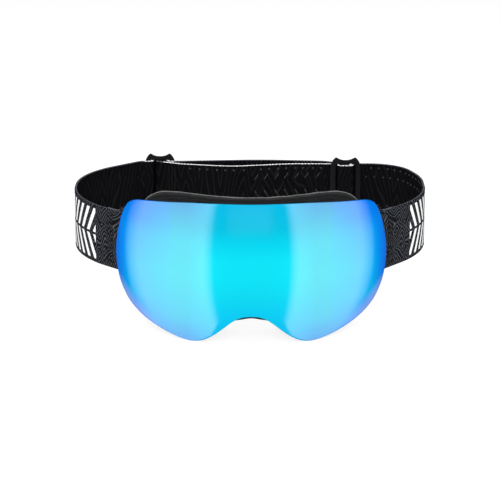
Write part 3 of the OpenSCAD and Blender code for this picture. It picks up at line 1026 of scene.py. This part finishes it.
def arm(side):
    """A strap arm: a plate above and below, a barrel on each, and the bar between them."""
    node = SIDE_NAME[side] + "_arm"
    low, high = z_span(node)
    pin = PIN[side]
    parts = []
    for z in (low, high - ARM_END_THICKNESS):
        loop = capsule(ARM_LENGTH, ARM_TIP_RADIUS)
        piece = plate("arm_plate", [loop], ARM_END_THICKNESS, 0.5 * MM, arm_plastic)
        turn = Matrix.Rotation(-side * SWING[side], 4, "Z")
        piece.data.transform(Matrix.Translation((pin.x, pin.y, z + ARM_END_THICKNESS / 2)) @ turn)
        parts.append(piece)
    lower_top = LUG_LOWS[0] - LUG_PLAY
    upper_low = LUG_LOWS[1] + LUG_HEIGHT + LUG_PLAY
    for start, end in ((low, lower_top), (upper_low, high)):
        parts.append(rounded_rod("barrel", BARREL_RADIUS, start, end, pin, arm_plastic,
            PIN_RADIUS + BORE_PLAY))
    parts.append(rounded_rod("bar", BAR_RADIUS, low + BAR_INSET, high - BAR_INSET,
        arm_bar(side), arm_plastic))
    piece = join(node + "_shell", parts)
    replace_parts(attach(piece, ARM_BODY[side]), node)
    pin_node = node + "_pin"
    rod = rounded_rod(pin_node + "_steel", PIN_RADIUS, *z_span(pin_node), pin, pin_steel)
    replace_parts(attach(rod, "frame"), pin_node)


# ---- strap routes
def pull(side):
    """Direction of the strap's pull at an arm, and the direction towards the head."""
    swing = SWING[side]
    along = np.array([side * sin(swing), cos(swing)])
    return along, np.array([-side * cos(swing), sin(swing)])


def arm_bar(side):
    return np.array([PIN[side].x, PIN[side].y]) + ARM_LENGTH * pull(side)[0]


def arm_point(side, along, inward):
    forward, across = pull(side)
    return arm_bar(side) + along * forward + inward * across


def pull_at(side, reach):
    """Where the straight pull from an arm is a distance out from the middle."""
    start = arm_point(side, 0, -LOOP_RADIUS)
    run = (reach - abs(start[0])) / sin(SWING[side])
    return start + run * pull(side)[0]


def arm_end(side):
    """The folded end, the loop round the arm's bar, and the first corner, with radii."""
    loop = LOOP_RADIUS - 0.1 * MM
    return [(arm_point(side, FOLD_LENGTH, FOLD_GAP - LOOP_RADIUS), 0),
        (arm_point(side, 7 * MM, FOLD_GAP - LOOP_RADIUS), 4 * MM),
        (arm_point(side, 2 * MM, LOOP_RADIUS + 0.05 * MM), 2 * MM),
        (arm_point(side, -LOOP_RADIUS, LOOP_RADIUS), loop),
        (arm_point(side, -LOOP_RADIUS, -LOOP_RADIUS), loop),
        (pull_at(side, REACH[side]), SIDE_CORNER_RADIUS)]


def at_slider(side, x, y):
    """A point given from a slider's middle; the right slider is turned half a turn."""
    return np.array([SLIDER[side].x - side * x, SLIDER[side].y - side * y])


WEAVE_RADIUS = 2.2 * MM


def woven(side):
    """The way through a slider's window, round its middle bar and back, with radii."""
    path = ((-RISE_X, -RUN_OFFSET), (-RISE_X, RISE_OFFSET), (RISE_X, RISE_OFFSET),
        (RISE_X, -RUN_OFFSET))
    return [(at_slider(side, x, y), WEAVE_RADIUS) for x, y in path]


END_TURN = np.array([15.9 * MM, -10.9 * MM])
END_START = np.array([-SLIDER_LOOP, -SLIDER_LOOP])
END_ALONG = unit(END_TURN - END_START)
FOLD_START = END_START + FOLD_GAP * left_of(END_ALONG)


def fold_y(x):
    return FOLD_START[1] + (x - FOLD_START[0]) * END_ALONG[1] / END_ALONG[0]


def slider_end(side):
    """The run to a slider, the loop round its middle bar, and the folded end, with radii."""
    fold_x, fold_end_x = 2.6 * MM, 14 * MM
    return [(at_slider(side, *END_TURN), 20 * MM),
        (at_slider(side, *END_START), 1.9 * MM),
        (at_slider(side, -SLIDER_LOOP, SLIDER_LOOP), 2.3 * MM),
        (at_slider(side, fold_x, SLIDER_LOOP), 2.2 * MM),
        (at_slider(side, fold_x, fold_y(fold_x)), 1.3 * MM),
        (at_slider(side, fold_end_x, fold_y(fold_end_x)), 0)]


def turns(*points):
    """Turning points of a route, from x, y and radius in millimetres."""
    return [(np.array([x, y]) * MM, radius * MM) for x, y, radius in points]


def left_route():
    """Through the left slider, across the back outside, and onto the right slider."""
    run = RUN_Y[LEFT] / MM
    return (arm_end(LEFT) + turns((-REACH[LEFT] / MM, 128.4, 74), (-80.5, run, 6)) + woven(LEFT)
        + turns((-50, run, 30), (6, 171.4, 180)) + slider_end(RIGHT))


def right_route():
    """Through the right slider, across the back inside, and onto the left slider."""
    run = RUN_Y[RIGHT] / MM
    return (arm_end(RIGHT)
        + turns((REACH[RIGHT] / MM + 0.3, 117, 80), (106.3, run, 30)) + woven(RIGHT)
        + turns((28, run, 40), (-15, 150.2, 50)) + slider_end(LEFT))


def corner_arc(a, b, c, radius):
    """Points of the round corner of a given radius at b."""
    to_a, to_c = unit(a - b), unit(c - b)
    half = acos(float(to_a @ to_c)) / 2
    centre = b + unit(to_a + to_c) * radius / sin(half)
    start = b + to_a * radius / tan(half) - centre
    turn = copysign(pi - 2 * half, to_a[1] * to_c[0] - to_a[0] * to_c[1])
    steps = max(2, ceil(abs(turn) / ARC_STEP), ceil(abs(turn) * radius / STATION))
    angles = turn * np.arange(steps + 1) / steps
    return [centre + start * cos(t) + left_of(start) * sin(t) for t in angles]


class Strap:
    """The centreline of one strap half, with its length and normals at each station."""

    def __init__(self, side, route):
        self.side = side
        points = [route[0][0]]
        for i in range(1, len(route) - 1):
            arc = corner_arc(route[i - 1][0], route[i][0], route[i + 1][0], route[i][1])
            self.run_to(points, arc[0])
            points += arc[1:]
        self.run_to(points, route[-1][0])
        self.points = np.array(points)
        self.lengths = distances(self.points)
        self.ways = unit(np.gradient(self.points, axis=0))
        self.outward = left_of(self.ways) * -side

    def run_to(self, points, end):
        """Adds even steps along a straight run."""
        start = points[-1]
        steps = max(1, ceil(np.linalg.norm(end - start) / STATION))
        points += [start + (end - start) * k / steps for k in range(1, steps + 1)]

    def nearest(self, point):
        return int(np.argmin(np.linalg.norm(self.points - np.array(point), axis=1)))


# Half a section of the webbing, in millimetres: distance from the edge, half thickness.
EDGE_SECTION = [(0.0, 0.06), (0.1, 0.42), (0.4, 0.7), (0.9, 0.84), (1.9, 0.84), (2.2, 0.7),
    (2.6, 0.8), (8.0, 0.82), (14.0, 0.82)]
EDGE_NOTCH = 0.24 * MM
GRAPHIC_START_X = {LEFT: 104.7 * MM, RIGHT: 107.2 * MM}


def strap_section():
    """(height, outward) around the whole section, down the outer face and up the inner."""
    half = [(d * MM, t * MM) for d, t in EDGE_SECTION]
    outer = [(STRAP_TOP - d, t) for d, t in half] + [(STRAP_LOW + d, t) for d, t in reversed(half)]
    return outer + [(z, -t) for z, t in reversed(outer)]


def strap_band(strap, name, first, last, edge_kind):
    """The webbing between two stations, with its outer face, inner face and edges."""
    section = strap_section()
    count = len(section)
    half = count // 2
    graphic_start = pull_at(strap.side, GRAPHIC_START_X[strap.side])
    zero = strap.lengths[strap.nearest(graphic_start)]
    points, uv = [], []
    for i in range(first, last + 1):
        x, y = strap.points[i]
        out = strap.outward[i]
        notch = 0 if i % 2 else EDGE_NOTCH
        for j, (z, t) in enumerate(section):
            uv.append((strap.lengths[i] - zero, z))
            if j in (0, half - 1, half, count - 1):
                z += notch if z < STRAP_HEIGHT else -notch
            points.append((x + out[0] * t, y + out[1] * t, z))
    faces = loft_faces(last - first + 1, count, False)
    edge_columns = (half - 1, half, half + 1, count - 3, count - 2, count - 1)
    indices = []
    for face in faces:
        column = face[0] % count
        if len(face) > 4 or column in edge_columns:
            indices.append(2)
        else:
            indices.append(0 if column < half else 1)
    materials = [webbing[face] for face in ("outside", "inside", edge_kind, "silicone")]
    return mesh_piece(name, points, faces, materials, indices, uv)


# Silicone dots and strokes. A row is a distance below the strap's upper edge, and for
# strokes also their slant.
BEAD_RADIUS = 0.8 * MM
BEAD_HEIGHT = 0.4 * MM
BEAD_SPACING = 6.4 * MM
BEAD_MARGIN = 3 * MM
BEAD_FOOT = 0.8 * MM
BEAD_ROOT = 0.2 * MM
BEAD_ROWS = (3.4 * MM, 37.1 * MM)
SIDE_BEAD_ROWS = (3.4 * MM, 9.8 * MM, 30.7 * MM, 37.1 * MM)
STROKE_RADIUS = 0.4 * MM
STROKE_LENGTH = 4.6 * MM
STROKE_SPACING = 7.5 * MM
STROKE_ROWS = ((8.8 * MM, radians(-55)), (21.2 * MM, radians(58)), (31.2 * MM, radians(-55)))
DOME_STEPS = 8
DOME_LEVELS = [(1.0, 0.0), (0.8, 0.65), (0.4, 0.95)]


def even_lengths(strap, first, last, spacing, offset):
    """Distances along the strap, a spacing apart, that fall between two stations."""
    start, end = strap.lengths[first] + BEAD_MARGIN, strap.lengths[last] - BEAD_MARGIN
    return np.arange(ceil((start - offset) / spacing) * spacing + offset, end, spacing)


def dome(strap, length, drop, radius, reach=0.0, slant=0.0):
    """Points of a silicone dome on the inner face, drawn out along a slant by a reach."""
    i = int(np.searchsorted(strap.lengths, length))
    way, inward = strap.ways[i], -strap.outward[i]
    middle = strap.points[i] + inward * BEAD_FOOT
    height = STRAP_TOP - drop
    points = []
    for share, rise in DOME_LEVELS:
        for k in range(DOME_STEPS):
            a = 2 * pi * (k + 0.5) / DOME_STEPS
            u = share * radius * cos(a) + copysign(reach / 2, cos(a))
            v = share * radius * sin(a)
            spot = middle + way * (u * cos(slant) - v * sin(slant))
            spot = spot + inward * rise * BEAD_HEIGHT
            points.append((*spot, height + (u * sin(slant) + v * cos(slant))))
    points.append((*(middle + inward * BEAD_HEIGHT), height))
    points.append((*(middle - inward * BEAD_ROOT), height))
    return points


def dome_faces(base):
    """Faces of a dome whose points start at base: its levels, its top and its root."""
    n = DOME_STEPS
    faces = []
    for k in range(n):
        m = (k + 1) % n
        faces += [(k, m, n + m, n + k), (n + k, n + m, 2 * n + m, 2 * n + k),
            (2 * n + k, 2 * n + m, 3 * n), (m, k, 3 * n + 1)]
    return [[base + corner for corner in face] for face in faces]


def grips(strap, name, first, last, rows, strokes):
    """Rows of silicone dots on the inner face, with strokes between them."""
    domes = []
    for row, drop in enumerate(rows):
        shift = BEAD_SPACING / 2 * (row % 2)
        for length in even_lengths(strap, first, last, BEAD_SPACING, shift):
            domes.append(dome(strap, length, drop, BEAD_RADIUS))
    for drop, slant in strokes:
        for length in even_lengths(strap, first, last, STROKE_SPACING, 0):
            domes.append(dome(strap, length, drop, STROKE_RADIUS, STROKE_LENGTH, slant))
    points = sum(domes, [])
    faces = sum([dome_faces(k * len(domes[0])) for k in range(len(domes))], [])
    return mesh_piece(name, points, faces, [webbing["silicone"]], uv=[(0, 0)] * len(points))


# Dots and strokes on the stretches of the right half whose inner face is open to view.
GRIPPED = {"side": (SIDE_BEAD_ROWS, ()), "back": (SIDE_BEAD_ROWS, ()),
    "cross": (BEAD_ROWS, STROKE_ROWS), "far": (BEAD_ROWS, ())}
# Stretches whose edge is painted lit, with the pale selvedge; on the others the same edge is
# painted shaded and dark.
PAINTED_LIT = {LEFT: ("woven",), RIGHT: ("woven", "cross", "far", "end_run")}

# Where a strap half is cut: along the pull, at the side, and off the sliders' middles.
ARM_CUT = 17 * MM
SIDE_CUT_Y = 100 * MM
SLIDER_CUT = 11.2 * MM
END_CUT = 17.5 * MM
LOOP_CUT = 3 * MM


def strap_cuts(strap):
    """The stations that part a strap half into its stretches, in order."""
    side = strap.side
    across = strap.points[:, 0]
    start = strap.nearest(arm_point(side, ARM_CUT, -LOOP_RADIUS))
    flank = strap.nearest((side * REACH[side], SIDE_CUT_Y))
    way_in = strap.nearest(at_slider(side, -SLIDER_CUT, -RUN_OFFSET))
    way_out = strap.nearest(at_slider(side, SLIDER_CUT, -RUN_OFFSET))
    middle = way_out + int(np.argmin(np.abs(across[way_out:])))
    end_x = SLIDER[-side].x + side * END_CUT
    end = middle + int(np.argmin(np.abs(across[middle:middle + 60] - end_x)))
    loop = end + int(np.argmax(np.abs(across[end:] - SLIDER[-side].x) < LOOP_CUT))
    return [0, start, flank, way_in, way_out, middle, end, loop, len(across) - 1]


def strap_half(side, route):
    """One strap half, in stretches that each ride on a body, or stay where they are when they lie
    between two bodies.
    """
    strap = Strap(side, route)
    cuts = strap_cuts(strap)
    arm_body, own, other = ARM_BODY[side], SLIDER_BODY[side], SLIDER_BODY[-side]
    stretches = [("arm_loop", arm_body, None), ("side", arm_body, "frame"),
        ("back", "frame", own), ("woven", own, None), ("cross", own, "frame"),
        ("far", "frame", other), ("end_run", other, None), ("end_loop", other, None)]
    for (part, body, next_body), first, final in zip(stretches, cuts, cuts[1:]):
        name = SIDE_NAME[side] + "_strap_" + part
        # The same webbing edge is painted lit on some stretches and painted shaded on the others.
        edge_kind = "painted_lit_edge" if part in PAINTED_LIT[side] else "painted_shaded_edge"
        piece = strap_band(strap, name, first, final, edge_kind)
        if side == RIGHT and part in GRIPPED:
            domes = grips(strap, name + "_grips", first, final, *GRIPPED[part])
            piece = join(name, [piece, domes])
        if part == "woven":
            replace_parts(piece, SIDE_NAME[side] + "_strap")
        if next_body is None:
            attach(piece, body)
        else:
            a, b = strap.points[first], strap.points[final]
            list(a)
            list(b)
            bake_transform(piece)


# ---- stitching
STITCH_ROWS = 3
ROW_SPACING = 2.5 * MM
STITCH_HEIGHT = 35.5 * MM
STITCHES = 23
STITCH_REACH = 0.55 * MM
THREAD_RADIUS = 0.19 * MM
THREAD_STAND = 0.17 * MM
ARM_STITCH_START = 8 * MM
SLIDER_STITCH_START = 10.5 * MM


def stitching(name, start, along, across):
    """Zigzag rows of thread that stand on one face of a straight stretch of strap."""
    curve = bpy.data.curves.new(name, "CURVE")
    curve.dimensions = "3D"
    curve.bevel_depth = THREAD_RADIUS
    curve.bevel_resolution = 2
    curve.use_fill_caps = True
    for row in range(STITCH_ROWS):
        spline = curve.splines.new("POLY")
        spline.points.add(2 * STITCHES)
        middle = start + row * ROW_SPACING * along + (HALF_THICKNESS + THREAD_STAND) * across
        for k in range(2 * STITCHES + 1):
            spot = middle + STITCH_REACH * (1 if k % 2 else -1) * along
            z = STRAP_HEIGHT + STITCH_HEIGHT * (k / (2 * STITCHES) - 0.5)
            spline.points[k].co = (*spot, z, 1)
    mesh = from_curve(name, curve)
    tidy_normals(mesh)
    paint(mesh, sewing_thread)
    return linked(name, mesh)


def all_stitching():
    for side in (LEFT, RIGHT):
        forward, inward = pull(side)
        node = SIDE_NAME[side] + "_arm_stitching"
        start = arm_point(side, ARM_STITCH_START, -LOOP_RADIUS)
        piece = stitching(node + "_rows", start, forward, -inward)
        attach(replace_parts(piece, node), ARM_BODY[side])
        node = SIDE_NAME[side] + "_slider_stitching"
        way = -side * END_ALONG
        start = at_slider(side, *END_START) + SLIDER_STITCH_START * way
        piece = stitching(node + "_rows", start, way, -left_of(way))
        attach(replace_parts(piece, node), SLIDER_BODY[side])


# ---- sliders
BAR_OVERLAP = 0.4 * MM


def slider_outline():
    points = np.array(SLIDER_QUARTER)
    before, after = 2 * points[0] - points[1], 2 * points[-1] - points[-2]
    quarter = smooth_line(before, points, after, 4) * MM
    upper = np.vstack([quarter, quarter[-2::-1] * (-1, 1)])
    return np.vstack([upper, upper[::-1] * (1, -1)])


def slider_window():
    """The window's outline, a rectangle with round corners."""
    w, h = WINDOW
    soft = WINDOW_CORNER
    window = []
    for x, y, first in ((1, 1, 0), (-1, 1, 90), (-1, -1, 180), (1, -1, 270)):
        for k in range(5):
            a = radians(first + 90 * k / 4)
            window.append((x * (w - soft) + soft * cos(a), y * (h - soft) + soft * sin(a)))
    return window[::-1]


def slider(side):
    """A slider: a plate with a window and concave ends, and a round bar down the middle."""
    node = SIDE_NAME[side] + "_slider"
    place = SLIDER[side]
    body = plate(node, [slider_outline(), slider_window()], SLIDER_THICKNESS, 0.6 * MM,
        slider_plastic)
    body.data.transform(Matrix.Translation(place) @ Matrix.Rotation(radians(90), 4, "X"))
    h = WINDOW[1]
    bar = rounded_rod("bar", MIDDLE_BAR_RADIUS, place.z - h - BAR_OVERLAP,
        place.z + h + BAR_OVERLAP, place, slider_plastic)
    piece = join(node + "_shell", [body, bar])
    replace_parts(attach(piece, SLIDER_BODY[side]), node)


# ---- the whole
camera()
studio()
floor()
soft_frame = moulded("soft_frame", (0.014, 0.014, 0.016), 0.55, 700, 0.05)
filter_foam = foam("filter_foam", (0.03, 0.03, 0.032), 700, 0.5)
arm_plastic = moulded("arm_plastic", (0.01, 0.01, 0.011), 0.35)
slider_plastic = moulded("slider_plastic", (0.008, 0.008, 0.0095), 0.34, 1100, 0.02)
pin_steel = metal("pin_steel", (0.55, 0.55, 0.57), 0.25)
sewing_thread = thread()
webbing = {"outside": webbing_outside(), "inside": webbing_inside(), "silicone": silicone(),
    # The two selvedges are one edge in two tones: a painted lit one and a painted shaded one.
    "painted_lit_edge": selvedge("painted_lit_selvedge", 0.45, 0.9),
    "painted_shaded_edge": selvedge("painted_shaded_selvedge", (0.014, 0.015, 0.018), (0.12, 0.13, 0.155))}
lens_unit()
frame_body()
vent_foam("top_filter_foam", "top_vent_foam", -58 * MM, 58 * MM, True)
vent_foam("left_filter_foam", "left_vent_foam", -56 * MM, -25 * MM, False)
vent_foam("right_filter_foam", "right_vent_foam", 25 * MM, 56 * MM, False)
face_pad()
for side in (LEFT, RIGHT):
    arm(side)
    slider(side)
strap_half(LEFT, left_route())
strap_half(RIGHT, right_route())
all_stitching()
